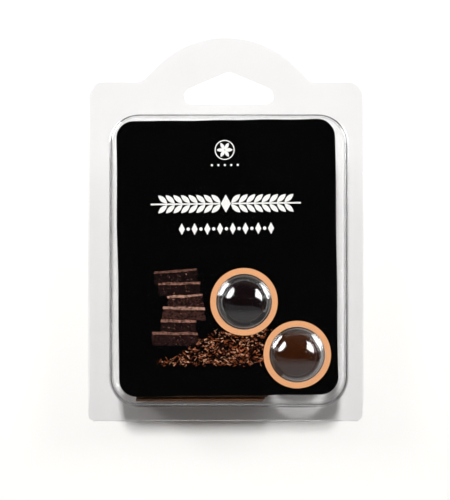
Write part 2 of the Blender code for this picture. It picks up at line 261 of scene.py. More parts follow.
# %% [markdown]
# The outline of the flange was cut by a steel-rule die: two shoulders, and a tab with a domed top for the
# shop's hook. The hang hole is a flat-bottomed slot with a low gable. On the real pack the lid and the tray
# don't meet exactly, so a second edge shows beside the first one on the right.


# %% Draw the flange's outline and its hang hole
def pack_outline(mismatch):
    """The flange's outline, anticlockwise from the fold's right end.

    It is moved along X by mismatch * s * s * (3 - 2 * s), where s grows from 0 to 1 between 2 and 8 mm above
    the fold, so that lid and tray meet in the fold.
    """
    half = FLANGE_WIDTH / 2
    tab_corner = TAB_RISE + TAB_RADIUS * (math.sqrt(2) - 1)
    corners = [
        (half, OUTLINE_BOTTOM_Y, 1.6),
        (half, SHOULDER_Y, 5.5),
        (tab_corner, SHOULDER_Y, 3.0),
        (0.0, SHOULDER_Y + tab_corner, TAB_RADIUS),
        (-tab_corner, SHOULDER_Y, 3.0),
        (-half, SHOULDER_Y, 5.5),
        (-half, OUTLINE_BOTTOM_Y, 1.6),
    ]
    line = divided(bent_line(corners, math.radians(6), closed=True), 2.0, closed=True)
    share = np.clip((line[:, 1] - OUTLINE_BOTTOM_Y - 2) / 6, 0, 1)
    line[:, 0] += mismatch * share * share * (3 - 2 * share)
    return line


def hang_hole(mismatch):
    """The hang hole's outline, 32.2 mm wide: a flat sill, round ends and a gable that rises at 23 degrees."""
    half, sill, side = 16.1, 45.0, 5.2
    x = CHAMBER_CENTRE[0] + mismatch
    corners = [
        (x - half, sill, 3.0),
        (x + half, sill, 3.0),
        (x + half, sill + side, 3.0),
        (x, sill + side + half * math.tan(math.radians(23)), 4.0),
        (x - half, sill + side, 3.0),
    ]
    return divided(bent_line(corners, math.radians(9), closed=True), 2.0, closed=True)


print("outline of", len(pack_outline(0.0)), "points, hang hole of", len(hang_hole(0.0)))

# %% [markdown]
# A chamber's wall is a profile carried along a rounded rectangle. Round a corner the direction turns while
# the corner's centre stands still, and along a side the centre moves while the direction stands still. A
# point is then centre + (radius - inset) * direction, with the inset and the level read from the profile.


# %% Carry a wall's profile round the chamber
def chamber_path(corner_steps=16, side_step=2.0):
    """(centres, directions) round a chamber, anticlockwise from the right end of its upper right corner."""
    reach = CHAMBER_SIZE / 2 - CHAMBER_CORNER
    signs = np.array(((1, 1), (-1, 1), (-1, -1), (1, -1)))
    centres, directions = [], []
    for quarter in range(4):
        here, following = signs[quarter] * reach, signs[(quarter + 1) % 4] * reach
        angle = np.pi / 2 * (quarter + np.linspace(0, 1, corner_steps + 1))
        side_steps = int(np.linalg.norm(following - here) / side_step)
        share = (np.arange(1, side_steps) / side_steps)[:, None]
        centres += [np.tile(here, (corner_steps + 1, 1)), here + share * (following - here)]
        turned_to = np.column_stack([np.cos(angle), np.sin(angle)])
        directions += [turned_to, np.tile(turned_to[-1], (side_steps - 1, 1))]
    return np.vstack(centres), np.vstack(directions)


def chamber_wall(rise, draft, edge_bend, flange_level, face_shift):
    """(points, rows, columns) of a wall whose profile leaves the flange, climbs by rise and bends level.

    As the profile climbs, the wall moves by its share of face_shift, so that the face lies off the middle.
    """
    run = abs(rise) * math.tan(draft)
    corners = [(-2.4, 0.0, 0.0), (0.0, 0.0, 1.0), (run, rise, edge_bend), (run + edge_bend + 0.2, rise, 0.0)]
    profile = divided(bent_line(corners, math.radians(10)), 1.2)
    centres, directions = chamber_path()
    share = np.clip(profile[:, 1] / rise, 0, 1)[:, None, None]
    reach = (CHAMBER_CORNER - profile[:, 0])[:, None, None]
    flat = CHAMBER_CENTRE + share * face_shift + centres[None] + reach * directions[None]
    level = np.broadcast_to((flange_level + profile[:, 1])[:, None, None], flat.shape[:2] + (1,))
    points = np.concatenate([flat, level], axis=2)
    return points.reshape(-1, 3), len(profile), len(centres)


print("the path round a chamber has", len(chamber_path()[0]), "points")

# %% [markdown]
# Cups and domes are turned: a profile of radius and height swept round an upright axis. The cup is a ridge
# that holds the ball, and the dome over each window gives the ball its room and lets it catch the light.


# %% Turn cups and domes
def turned_form(profile, centre, level, steps=96):
    """(points, rows, columns) of a profile of (radius, height) turned about an upright axis at centre."""
    angle = np.linspace(0, 2 * np.pi, steps, endpoint=False)
    x = centre[0] + profile[:, :1] * np.cos(angle)
    y = centre[1] + profile[:, :1] * np.sin(angle)
    z = np.broadcast_to(level + profile[:, 1:], x.shape)
    return np.stack([x, y, z], axis=-1).reshape(-1, 3), len(profile), steps


def cup_profile():
    """The ridge's middle line: it rises 6 mm from the tray's floor and comes down to it again."""
    corners = [(12.2, 0, 0), (11.7, 0, 0.5), (10.9, 6, 0.6), (9.5, 6, 0.5), (8.3, 0, 0.5), (7.6, 0, 0)]
    return divided(bent_line(corners, math.radians(12)), 0.9)


def dome_profile():
    """A dome's middle line: a foot bend of 0.6 mm, a shoulder of 3.5 mm and a crown of 26 mm, without a kink.

    An arc's centre lies on the normal where the last arc ends, so each is drawn by its tilt from the level.
    """
    foot, foot_bend, shoulder, crown, slope = 9.95, 0.6, 3.5, 26.0, math.radians(60)
    axis_radius = foot - (foot_bend + shoulder) * math.sin(slope)
    axis_level = foot_bend - (foot_bend + shoulder) * math.cos(slope)
    crown_tilt = math.asin(axis_radius / (crown - shoulder))
    crown_level = axis_level + (shoulder - crown) * math.cos(crown_tilt)
    tilt = np.linspace(0, slope, 6)
    lower = np.column_stack([foot - foot_bend * np.sin(tilt), foot_bend * (1 - np.cos(tilt))])
    tilt = np.linspace(slope, crown_tilt, 12)[1:]
    middle = np.column_stack([axis_radius + shoulder * np.sin(tilt), axis_level + shoulder * np.cos(tilt)])
    tilt = np.linspace(crown_tilt, 0, 12)[1:]
    upper = np.column_stack([crown * np.sin(tilt), crown_level + crown * np.cos(tilt)])
    return np.vstack([[(foot + 0.5, 0.0)], lower, middle, upper])


print("a dome rises by", round(dome_profile()[-1, 1], 2), "mm, a cup by", round(cup_profile()[:, 1].max(), 2))

# %% [markdown]
# The drawn sheet isn't perfectly flat or straight: it cools unevenly and keeps shallow waves. They are a sum
# of a few sine waves across the pack. Its flats rise and sink by some hundredths of a millimetre, and its
# walls, which the mould held straight, stray far less. A card's worn edge wavers in the same way.


# %% Let the sheet waver
def waver(points, amounts, seed):
    """The points moved by a smooth field: along each axis, its amount times the mean of eight sine waves.

    The waves are 14 to 45 mm long and run every way across the pack.
    """
    draw = np.random.default_rng(seed)
    waves = 8
    heading = draw.uniform(0, 2 * np.pi, (3, waves))
    length = draw.uniform(14, 45, (3, waves))
    phase = draw.uniform(0, 2 * np.pi, (3, waves))
    along = points[:, 0, None, None] * np.cos(heading) + points[:, 1, None, None] * np.sin(heading)
    field = np.sin(2 * np.pi * along / length + phase).mean(axis=2)
    return points + np.array(amounts) * field


waved_square = waver(at_level(square, 0.0), (0, 0, 1), seed=1)
print("waves of 1 mm lift the square's corners by", waved_square[:, 2].round(2), "mm")

# %% [markdown]
# The sheet's middle surface is sewn from lid, tray and fold. Each half is its flange, its chamber's wall, the
# chamber's face and the forms drawn into that face. The fold is a half circle that joins the two flanges.


# %% Sew the clear skin
def fold_strip(lid_outline):
    """The fold along the bottom edge: a half circle carried along X, from the lid's flange to the tray's."""
    middle = (LID_FLANGE_LEVEL + TRAY_FLANGE_LEVEL) / 2
    radius = (LID_FLANGE_LEVEL - TRAY_FLANGE_LEVEL) / 2
    x = lid_outline[np.abs(lid_outline[:, 1] - OUTLINE_BOTTOM_Y) < 0.001, 0]
    x.sort()
    angle = np.linspace(0, np.pi, 11)[:, None]
    y = np.broadcast_to(OUTLINE_BOTTOM_Y - radius * np.sin(angle), (11, len(x)))
    z = np.broadcast_to(middle + radius * np.cos(angle), (11, len(x)))
    points = np.stack([np.broadcast_to(x, y.shape), y, z], axis=-1).reshape(-1, 3)
    return points, grid_faces(11, len(x), closed=False)


def skin_half(outline, hole, wall, forms, caps):
    """The parts of one half: flange, wall, face, the forms in the face and, with caps, the forms' floors."""
    points, rows, columns = wall
    rings = points.reshape(rows, columns, 3)
    flange, flange_faces = fill_flat(outline, [hole, rings[0, :, :2]])
    form_rings = [form[0].reshape(form[1], form[2], 3) for form in forms]
    face, face_faces = fill_flat(rings[-1, :, :2], [ring[0, :, :2] for ring in form_rings])
    parts = [
        (at_level(flange, rings[0, 0, 2]), flange_faces),
        (points, grid_faces(rows, columns)),
        (at_level(face, rings[-1, 0, 2]), face_faces),
    ]
    for form, ring in zip(forms, form_rings):
        parts.append((form[0], grid_faces(form[1], form[2])))
        if caps:
            cap, cap_faces = fill_flat(ring[-1, :, :2])
            parts.append((at_level(cap, ring[-1, 0, 2]), cap_faces))
    return parts


def skin_parts():
    """Every part of the sheet's middle surface, lid, tray and fold."""
    lid_outline, tray_outline = pack_outline(0.0), pack_outline(EDGE_MISMATCH)
    lid_wall = chamber_wall(LID_RISE, WALL_DRAFT, LID_EDGE_BEND, LID_FLANGE_LEVEL, LID_FACE_SHIFT)
    tray_rise = TRAY_LEVEL - TRAY_FLANGE_LEVEL
    tray_wall = chamber_wall(tray_rise, WALL_DRAFT, TRAY_EDGE_BEND, TRAY_FLANGE_LEVEL, np.zeros(2))
    domes = [turned_form(dome_profile(), turned_with_card(window), LID_LEVEL) for window in WINDOWS.values()]
    cups = [turned_form(cup_profile(), ball_middles[name], TRAY_LEVEL) for name in WINDOWS]
    parts = skin_half(lid_outline, hang_hole(0.0), lid_wall, domes, False)
    parts += skin_half(tray_outline, hang_hole(HOLE_MISMATCH), tray_wall, cups, True)
    parts.append(fold_strip(lid_outline))
    return parts


sheet_parts = skin_parts()
print("the skin is sewn from", len(sheet_parts), "parts")

# %% [markdown]
# Colours are written as the sRGB hex values that a colour picker shows, and one function turns them into the
# linear values that a shader works in. One more function adds a shader node with its settings and links.


# %% Read colours and add shader nodes
def linear(hex_colour):
    """Linear RGBA of an sRGB hex colour: c / 12.92 below 0.04045, else ((c + 0.055) / 1.055) to the 2.4."""
    parts = [int(hex_colour[i : i + 2], 16) / 255 for i in (1, 3, 5)]
    return [c / 12.92 if c <= 0.04045 else ((c + 0.055) / 1.055) ** 2.4 for c in parts] + [1.0]


def wire(node, inputs):
    """Sets a node's inputs by name or number: an output is linked and anything else is a value."""
    for key, value in inputs.items():
        if isinstance(value, bpy.types.NodeSocket):
            node.id_data.links.new(value, node.inputs[key])
        else:
            node.inputs[key].default_value = value
    return node


def add_node(tree, kind, inputs, **settings):
    """A new node of that kind with its settings and its inputs."""
    node = tree.nodes.new(kind)
    for key, value in settings.items():
        setattr(node, key, value)
    return wire(node, inputs)


def new_material(name, **inputs):
    """(material, node tree, Principled BSDF) with the shader's constant inputs set."""
    made = bpy.data.materials.new(name)
    made.use_nodes = True
    shader = made.node_tree.nodes["Principled BSDF"]
    wire(shader, {key.replace("_", " "): value for key, value in inputs.items()})
    return made, made.node_tree, shader


print("the middle grey #808080 is", round(linear("#808080")[0], 3), "in linear light")

# %% [markdown]
# PET, clear polyester sheet, is drawn warm over a polished mould, so it is glossy on both sides and has an
# index of refraction of about 1.57. A path tracer can't find a lamp through refracting sheet, so for shadow
# rays and diffuse light alone the sheet doesn't bend light, and is nearly clear, as the real one is.


# %% Mix the clear polyester
def clear_polyester():
    """Refracting sheet for what the eye sees, and a nearly clear one for shadow rays and diffuse light."""
    made, tree, shader = new_material(
        "clear_polyester_sheet",
        Base_Color=linear("#fbfbfc"),
        Roughness=0.012,
        IOR=1.57,
        Transmission_Weight=1.0,
    )
    path = add_node(tree, "ShaderNodeLightPath", {})
    clear = add_node(tree, "ShaderNodeBsdfTransparent", {"Color": (0.995, 0.995, 0.995, 1.0)})
    mixed = shader
    for ray in ("Is Shadow Ray", "Is Diffuse Ray"):
        inputs = {0: path.outputs[ray], 1: mixed.outputs[0], 2: clear.outputs[0]}
        mixed = add_node(tree, "ShaderNodeMixShader", inputs)
    wire(tree.nodes["Material Output"], {"Surface": mixed.outputs[0]})
    return made


# %% [markdown]
# The skin becomes one piece. It gets its shallow waves first, then its thickness, so both sides wave alike.

# %% Form the clear clamshell
SHEET_WAVES = (0.01, 0.01, 0.035)
CUT_EDGE_BEVEL = 0.1


def thicken(piece, thickness, rim_bevel):
    """Gives a skin its thickness to both sides, rounds its cut edge and weights the normals by face area."""
    solid = piece.modifiers.new("thickness", "SOLIDIFY")
    solid.thickness = thickness * MM
    solid.offset = 0.0
    solid.use_even_offset = True
    edge = piece.modifiers.new("cut_edge", "BEVEL")
    edge.limit_method = "ANGLE"
    edge.angle_limit = math.radians(50)
    edge.width = rim_bevel * MM
    edge.segments = 2
    piece.modifiers.new("normals", "WEIGHTED_NORMAL").keep_sharp = False


clear_sheet = add_piece("clear_clamshell", sheet_parts, clear_polyester(), ["clamshell"])
drawn = np.empty(len(clear_sheet.data.vertices) * 3, dtype=np.float32)
clear_sheet.data.vertices.foreach_get("co", drawn)
waved = waver(drawn.reshape(-1, 3) / MM, SHEET_WAVES, seed=4) * MM
clear_sheet.data.vertices.foreach_set("co", waved.astype(np.float32).ravel())
clear_sheet.data.update()
thicken(clear_sheet, SHEET, CUT_EDGE_BEVEL)
print("the waves move the sheet by up to", round(np.abs(waved.ravel() - drawn).max() / MM, 3), "mm")

# %% [markdown]
# The card is light greyboard with a varnished black front. It was cut by a worn die, so its edges waver a
# little. It is made as flat plates, the board and the black coat on it. A plate is one outline with holes,
# drawn at two levels and joined by its edge.


# %% Make flat plates
def plate(outline, holes, low, high, spacing=4.0):
    """The parts of a flat plate between two levels: its two faces and a wall along each outline."""
    points, triangles = fill_flat(outline, holes, spacing)
    parts = [(at_level(points, low), triangles), (at_level(points, high), triangles)]
    for line in (outline, *holes):
        wall = np.vstack([at_level(line, low), at_level(line, high)])
        parts.append((wall, grid_faces(2, len(line))))
    return parts


def circle(centre, radius, steps=96):
    """A circle's points, anticlockwise."""
    angle = np.linspace(0, 2 * np.pi, steps, endpoint=False)
    return np.column_stack([centre[0] + radius * np.cos(angle), centre[1] + radius * np.sin(angle)])


CARD_HALF_X, CARD_HALF_Y, CARD_CORNER = 39.1, 49.15, 6.2
EDGE_WAVES = (0.3, 0.3, 0.0)
BOARD_INSET, BLACK_COAT = 0.05, 0.03
CARD_UNDER, CARD_TOP = card_low[2], card_high[2]


def card_edge(inset):
    """The card's outline: a rounded rectangle whose edge waves by about 0.1 mm, turned with the card."""
    half_x, half_y = CARD_HALF_X - inset, CARD_HALF_Y - inset
    signs = ((1, -1), (1, 1), (-1, 1), (-1, -1))
    corners = [(x * half_x, y * half_y, CARD_CORNER) for x, y in signs]
    line = divided(bent_line(corners, math.radians(6), closed=True), 1.5, closed=True)
    return turned_with_card(waver(at_level(line, 0.0), EDGE_WAVES, seed=11)[:, :2])


window_lines = [circle(turned_with_card(window), WINDOW_RADIUS) for window in WINDOWS.values()]
print("the card's edge has", len(card_edge(0.0)), "points, its top lies at", round(CARD_TOP, 2), "mm")

# %% [markdown]
# Greyboard is recycled pulp: matt, slightly warm, with faint fibres on its plain back. Offset inks lie on it
# in a film too thin to see. The black front is deep and has the sheen of its varnish.


# %% Mix the board and the inks
def shade_and_bump(tree, shader, shades, colours, heights, strength, depth, ends=(0.0, 1.0)):
    """Shades the base colour between two hex colours by one noise, and lifts the surface by a noise."""
    ramp = add_node(tree, "ShaderNodeValToRGB", {"Fac": shades})
    for element, end, colour in zip(ramp.color_ramp.elements, ends, colours):
        element.position = end
        element.color = linear(colour)
    bump = add_node(tree, "ShaderNodeBump", {"Height": heights, "Strength": strength, "Distance": depth})
    wire(shader, {"Base Color": ramp.outputs[0], "Normal": bump.outputs[0]})


def object_place(tree):
    """The shaded point's place in metres, in its piece's own coordinates, which start where the pack's do."""
    return add_node(tree, "ShaderNodeTexCoord", {}).outputs["Object"]


def greyboard():
    """Light recycled board: fine fibres as bump and as a slight mottle of its grey."""
    made, tree, shader = new_material("greyboard", Roughness=0.72)
    # Fibres about 0.2 mm wide and 1.5 mm long, drawn by stretching the noise along X
    stretched = add_node(
        tree, "ShaderNodeMapping", {"Vector": object_place(tree), "Scale": (700.0, 5000.0, 700.0)}
    )
    noise = {"Vector": stretched.outputs[0], "Scale": 1.0, "Detail": 3.0}
    fibres = add_node(tree, "ShaderNodeTexNoise", noise).outputs["Fac"]
    shade_and_bump(tree, shader, fibres, ("#c9c6c0", "#dcdad5"), fibres, 0.25, 0.00004)
    return made


def offset_ink(name, hex_colour, roughness=0.2, attribute=None, mottle=0.06, grain=0.15):
    """A varnished offset ink, of one colour or of a colour attribute.

    The colour is multiplied by a noise between 1 - mottle and 1, whose grains are about grain mm wide.
    """
    made, tree, shader = new_material(name, Roughness=roughness, IOR=1.48)
    # Dots of 0.15 mm where no other grain is given: an offset screen is finer, and would not show
    noise = {"Vector": object_place(tree), "Scale": 1 / (grain * MM), "Detail": 1.0}
    dots = add_node(tree, "ShaderNodeTexNoise", noise).outputs["Fac"]
    spread = {"Value": dots, "From Min": 0.3, "From Max": 0.7, "To Min": 1 - mottle, "To Max": 1.0}
    strength = add_node(tree, "ShaderNodeMapRange", spread).outputs[0]
    if attribute:
        colour = add_node(tree, "ShaderNodeAttribute", {}, attribute_name=attribute).outputs["Color"]
    else:
        colour = linear(hex_colour)
    # Sockets 6, 7 and 2 are the mix node's two colours and its resulting colour
    parts = {0: 1.0, 6: colour, 7: strength}
    inked = add_node(tree, "ShaderNodeMix", parts, data_type="RGBA", blend_type="MULTIPLY")
    wire(shader, {"Base Color": inked.outputs[2]})
    return made


# %% [markdown]
# The board is a little smaller than its black coat, so that its light edge doesn't show past the coat. Both
# plates share the windows' outlines.

# %% Cut the card and coat its front
board_parts = plate(card_edge(BOARD_INSET), window_lines, CARD_UNDER, CARD_TOP - BLACK_COAT)
add_piece("card_board", board_parts, greyboard(), ["label_card"], smooth=False)
front_parts = plate(card_edge(0.0), window_lines, CARD_TOP - BLACK_COAT, CARD_TOP)
black_ink = offset_ink("black_offset_ink", "#020202", roughness=0.16)
add_piece("card_black_front", front_parts, black_ink, smooth=False)

# %% [markdown]
# Everything printed in colour is a thin raised shape: rings round the windows, a plain ornament of leaves,
# lozenges and dots, a heap of chips and a pile of slabs. Many small shapes are made at once: the points of
# all their outlines are one array, which is drawn at two levels.

# %% Make many small prisms at once
INK_FOOT = CARD_TOP - 0.005
INK_TOP = CARD_TOP + 0.03


def outlines(centres, lengths, widths, turns, pinch=(1, 1), steps=12, uneven=None):
    """(shapes, steps, 2) outlines: x = L / 2 * c * |c| ** (p - 1) and y = W / 2 * s * |s| ** (q - 1), turned.

    c and s are the cosine and sine of an angle that runs round. With p = q = 1 a shape is an ellipse, with
    p = q = 2 a lozenge, and with p = 1 and q = 2 a leaf between two parabolas.
    """
    centres = np.atleast_2d(centres)
    angle = np.linspace(0, 2 * np.pi, steps, endpoint=False)[None, :]
    as_columns = (np.reshape(np.asarray(value, dtype=float), (-1, 1)) for value in (lengths, widths, turns))
    lengths, widths, turns = as_columns
    c, s = np.cos(angle), np.sin(angle)
    x = lengths / 2 * c * np.abs(c) ** (pinch[0] - 1)
    y = widths / 2 * s * np.abs(s) ** (pinch[1] - 1)
    if uneven is not None:
        x, y = x * uneven, y * uneven
    along = x * np.cos(turns) - y * np.sin(turns)
    across = x * np.sin(turns) + y * np.cos(turns)
    return np.stack([centres[:, :1] + along, centres[:, 1:] + across], axis=-1)


def prisms(shapes, low, high):
    """(points, sides, undersides, tops) of upright prisms on outlines given in the card's frame."""
    count, steps, _ = shapes.shape
    flat = turned_with_card(shapes.reshape(-1, 2)).reshape(count, steps, 2)
    low = np.broadcast_to(np.reshape(low, (-1, 1, 1)), (count, steps, 1))
    high = np.broadcast_to(np.reshape(high, (-1, 1, 1)), (count, steps, 1))
    points = np.concatenate(
        [np.concatenate([flat, low], axis=2), np.concatenate([flat, high], axis=2)], axis=1
    ).reshape(-1, 3)
    base = (np.arange(count) * 2 * steps)[:, None]
    ring = np.arange(steps)[None, :]
    under, upper = base + ring[:, ::-1], base + steps + ring
    following = (ring + 1) % steps
    sides = np.stack(
        [base + ring, base + following, base + steps + following, base + steps + ring], axis=-1
    ).reshape(-1, 4)
    return points, sides, under, upper


lozenge = outlines((0, 0), 2, 1, 0, (2, 2))
print("a lozenge of", lozenge.shape[1], "points makes a prism of", len(prisms(lozenge, 0, 1)[0]))

# %% [markdown]
# The rings are printed in a flat orange. Each is a plate with a round hole, a little wider than the window,
# and stands a little higher than the other inks, so that it covers what passes under it.

# %% Print the rings round the windows
RING_WIDTH, RING_CLEARANCE = 2.1, 0.02
RING_TOP = CARD_TOP + 0.07
ring_parts = []
for window in WINDOWS.values():
    middle = turned_with_card(window)
    outer = circle(middle, WINDOW_RADIUS + RING_WIDTH)
    inner = circle(middle, WINDOW_RADIUS + RING_CLEARANCE)
    ring_parts += plate(outer, [inner], INK_FOOT, RING_TOP)
orange_ink = offset_ink("orange_offset_ink", "#e9aa7a")
add_piece("printed_rings", ring_parts, orange_ink, smooth=False)

# %% [markdown]
# The ornament is a heavy line over a lighter one: a twig of leaves that grows out to both sides from a
# lozenge, and a row of small lozenges and dots. Above it is a small rosette in a thin ring, with a short row
# of dots.

# %% Draw twigs, stems and rows
TWIG_LEFT, TWIG_RIGHT, TWIG_Y = -26.4, 27.2, 9.25
LEAF_LENGTH, LEAF_WIDTH, LEAF_SPACING, LEAF_LEAN = 4.3, 1.75, 2.72, math.radians(42)
FIRST_LEAF, LEAF_OFFSET, BARE_STEM = 3.5, 1.75, 2.4


def twig(left, right, y):
    """Leaves in pairs above and below a stem, leaning away from the middle."""
    middle = (left + right) / 2
    count = int((right - middle - BARE_STEM) / LEAF_SPACING)
    reach = FIRST_LEAF + LEAF_SPACING * np.arange(count)
    shapes = []
    for side in (-1, 1):
        for over in (-1, 1):
            centres = np.column_stack([middle + side * reach, np.full(count, y + over * LEAF_OFFSET)])
            turns = np.full(count, side * over * LEAF_LEAN)
            shapes.append(outlines(centres, LEAF_LENGTH, LEAF_WIDTH, turns, (1, 2), 16))
    return np.vstack(shapes)


def rectangle(left, right, low, high):
    """One rectangle as a (1, 4, 2) outline."""
    return np.array([[(left, low), (right, low), (right, high), (left, high)]], dtype=float)


def row_of(x, y, length, width, pinch, steps):
    """Like shapes at every x, all at height y."""
    return outlines(np.column_stack([x, np.full(len(x), y)]), length, width, np.zeros(len(x)), pinch, steps)


leaves = twig(TWIG_LEFT, TWIG_RIGHT, TWIG_Y)
print("the twig has", len(leaves), "leaves")

# %% [markdown]
# The ornament's places are measured from the pack's middle and then moved into the card's frame, so that it
# turns with the card. Its ink is an opaque white.

# %% Print the white ornament
STEM_HALF_WIDTH, STEM_GAP = 0.28, 2.0
ROW_LEFT, ROW_RIGHT, ROW_Y = -15.4, 16.4, 0.3
DOTS_LEFT, DOTS_RIGHT, DOTS_Y = -4.4, 4.8, 23.0
ROSETTE = np.array((0.2, 28.4))
ROSETTE_OUTER, ROSETTE_INNER, PETAL_REACH = 3.55, 3.2, 1.5
middle_x = (TWIG_LEFT + TWIG_RIGHT) / 2
stem_low, stem_high = TWIG_Y - STEM_HALF_WIDTH, TWIG_Y + STEM_HALF_WIDTH
lozenges_x = np.linspace(ROW_LEFT, ROW_RIGHT, 8)
petal_turns = np.arange(6) * np.pi / 3
petal_centres = ROSETTE + PETAL_REACH * np.column_stack([np.cos(petal_turns), np.sin(petal_turns)])
ornament = [
    leaves,
    rectangle(TWIG_LEFT, middle_x - STEM_GAP, stem_low, stem_high),
    rectangle(middle_x + STEM_GAP, TWIG_RIGHT, stem_low, stem_high),
    row_of(np.array([middle_x]), TWIG_Y, 3.6, 6.4, (2, 2), 16),
    row_of(lozenges_x, ROW_Y, 2.2, 4.2, (2, 2), 12),
    row_of((lozenges_x[1:] + lozenges_x[:-1]) / 2, ROW_Y, 1.2, 1.2, (1, 1), 14),
    outlines(petal_centres, 2.8, 1.25, petal_turns, (1, 2), 14),
    row_of(np.linspace(DOTS_LEFT, DOTS_RIGHT, 5), DOTS_Y, 0.8, 0.8, (1, 1), 12),
]
ornament_parts = [prisms(shapes - CARD_CENTRE, INK_FOOT, INK_TOP) for shapes in ornament]
rosette_place = turned_with_card(ROSETTE - CARD_CENTRE)
rosette_hole = circle(rosette_place, ROSETTE_INNER)
ornament_parts += plate(circle(rosette_place, ROSETTE_OUTER), [rosette_hole], INK_FOOT, INK_TOP)
white_ink = offset_ink("white_offset_ink", "#f4f4f2", mottle=0.02)
add_piece("printed_ornament", ornament_parts, white_ink, smooth=False)

# %% [markdown]
# The heap and the pile are made of small shapes in several browns. One colour for each shape is kept as a
# colour attribute of its points, which the ink reads. A sliver's corners lie at uneven distances.

# %% Scatter and colour small shapes
# Widths are shares of the length, corners are shares of an even hexagon's, and the turn is in radians
SLIVER_WIDTHS, SLIVER_CORNERS, SLIVER_TURN, SLIVER_STEPS = (0.18, 0.4), (0.6, 1.25), 1.2, 6


def paint(piece, colours, points_each):
    """Gives every shape of a piece its own colour: one linear RGBA for each run of points_each points."""
    layer = piece.data.color_attributes.new("ink", "FLOAT_COLOR", "POINT")
    layer.data.foreach_set("color", np.repeat(colours, points_each, axis=0).astype(np.float32).ravel())


def mixed_colours(hex_colours, count, draw):
    """Random mixes of neighbouring colours of a list, as linear RGBA rows."""
    given = np.array([linear(colour) for colour in hex_colours])
    place = draw.uniform(0, len(given) - 1, count)
    lower = np.minimum(place.astype(int), len(given) - 2)
    share = (place - lower)[:, None]
    return given[lower] * (1 - share) + given[lower + 1] * share


def clear_of_windows(places, margin):
    """Which places of the card's frame lie farther than margin outside both windows."""
    gaps = [np.linalg.norm(places - window, axis=1) - WINDOW_RADIUS for window in WINDOWS.values()]
    return np.min(gaps, axis=0) > margin


def slivers(places, lengths, draw, tops):
    """Thin uneven hexagons at places of the card's frame, each turned, 2.5 to 5.5 times as long as wide."""
    count = len(places)
    widths = lengths * draw.uniform(*SLIVER_WIDTHS, count)
    turns = draw.uniform(-SLIVER_TURN, SLIVER_TURN, count)
    uneven = draw.uniform(*SLIVER_CORNERS, (count, SLIVER_STEPS))
    return prisms(outlines(places, lengths, widths, turns, steps=SLIVER_STEPS, uneven=uneven), INK_FOOT, tops)


def stacked_tops(low, spread, count, draw):
    """A level of its own for each of count shapes, within spread above low, so that no two tops coincide."""
    return CARD_TOP + low + spread * draw.permutation(count) / count


draw = np.random.default_rng(23)
# The grains are coarse enough to show in the render. A real halftone's dots are far finer
brown_inks = offset_ink("brown_offset_inks", None, attribute="ink", mottle=0.8, grain=0.9)
print("material", brown_inks.name)

# %% [markdown]
# The chips are a drift of almost 1,200 slivers, with the black card showing between them. Its crest climbs in
# an S from its left tail to its full height in the middle, and on the right it passes under the rings.

# %% Print the drift of chips
CHIP_BROWNS = ["#0d0503", "#230f07", "#5e2a12", "#ab5c33", "#f4bd9a"]
CHIPS_DRAWN, CHIP_LENGTHS, CHIP_STRAY = 1250, (0.5, 1.75), 0.4
DRIFT_LEFT, DRIFT_DENSEST, DRIFT_RIGHT, DRIFT_FOOT = -26.0, 8.0, 18.0, -48.0
DRIFT_HEIGHT, DRIFT_TAIL, CLIMB_X, CLIMB_RUN, FOOT_SHARE = 11.5, 1.2, -12.0, 3.2, 1.15
chip_x = draw.triangular(DRIFT_LEFT, DRIFT_DENSEST, DRIFT_RIGHT, CHIPS_DRAWN)
crest = DRIFT_HEIGHT / (1 + np.exp(-(chip_x - CLIMB_X) / CLIMB_RUN)) + DRIFT_TAIL
chip_y = DRIFT_FOOT + crest * draw.uniform(0, 1, CHIPS_DRAWN) ** FOOT_SHARE
chip_y += draw.normal(0, CHIP_STRAY, CHIPS_DRAWN)
chip_places = np.column_stack([chip_x, chip_y]) - CARD_CENTRE
chip_places = chip_places[clear_of_windows(chip_places, RING_WIDTH - 1.0)]
chip_count = len(chip_places)
chip_tops = stacked_tops(0.01, 0.04, chip_count, draw)
chip_parts = [slivers(chip_places, draw.uniform(*CHIP_LENGTHS, chip_count), draw, chip_tops)]
chips = add_piece("printed_chips", chip_parts, brown_inks, smooth=False)
paint(chips, mixed_colours(CHIP_BROWNS, chip_count, draw), 2 * SLIVER_STEPS)

# %% [markdown]
# The pile is of broken slabs, one over the other, each drawn as a dark face with a lighter upper edge. The
# sides of a broken slab are rough, so each has a few points that stray a little.

# %% Print the pile of slabs
SLAB_BROWNS = ["#1d1110", "#2f1c19", "#452b26"]
SLAB_EDGES = ["#5d3b31", "#a37464", "#c79a86"]
slab_count = 6
slab_height, slab_pitch = 4.6, 4.45
PILE_FOOT, PILE_MIDDLE, PILE_STRAY, PILE_LEAN = -41.0, -16.4, 2.6, 0.13
EDGE_START, FACE_END = 0.8, 0.92
slab_low = PILE_FOOT + slab_pitch * np.arange(slab_count)
slab_width = draw.uniform(9.5, 16.5, slab_count)
slab_middle = PILE_MIDDLE + draw.uniform(-PILE_STRAY, PILE_STRAY, slab_count)
slab_lean = draw.uniform(-PILE_LEAN, PILE_LEAN, slab_count)


def slab_shapes(foot, head, rough):
    """(slabs, 16, 2) outlines of the slabs' faces between two shares of their height, four points a side.

    A point is the slab's middle + (u * width, v * height) turned by its lean + a stray of up to rough.
    """
    step = np.arange(4) / 4
    u = np.concatenate([step, np.ones(4), 1 - step, np.zeros(4)]) - 0.5
    v = foot + (head - foot) * np.concatenate([np.zeros(4), step, np.ones(4), 1 - step])
    x = slab_width[:, None] * u
    y = slab_height * np.broadcast_to(v, x.shape)
    cosine, sine = np.cos(slab_lean)[:, None], np.sin(slab_lean)[:, None]
    turned = np.stack([x * cosine - y * sine, x * sine + y * cosine], axis=-1)
    stray = draw.uniform(-rough, rough, turned.shape)
    return turned + stray + (np.column_stack([slab_middle, slab_low]) - CARD_CENTRE)[:, None, :]


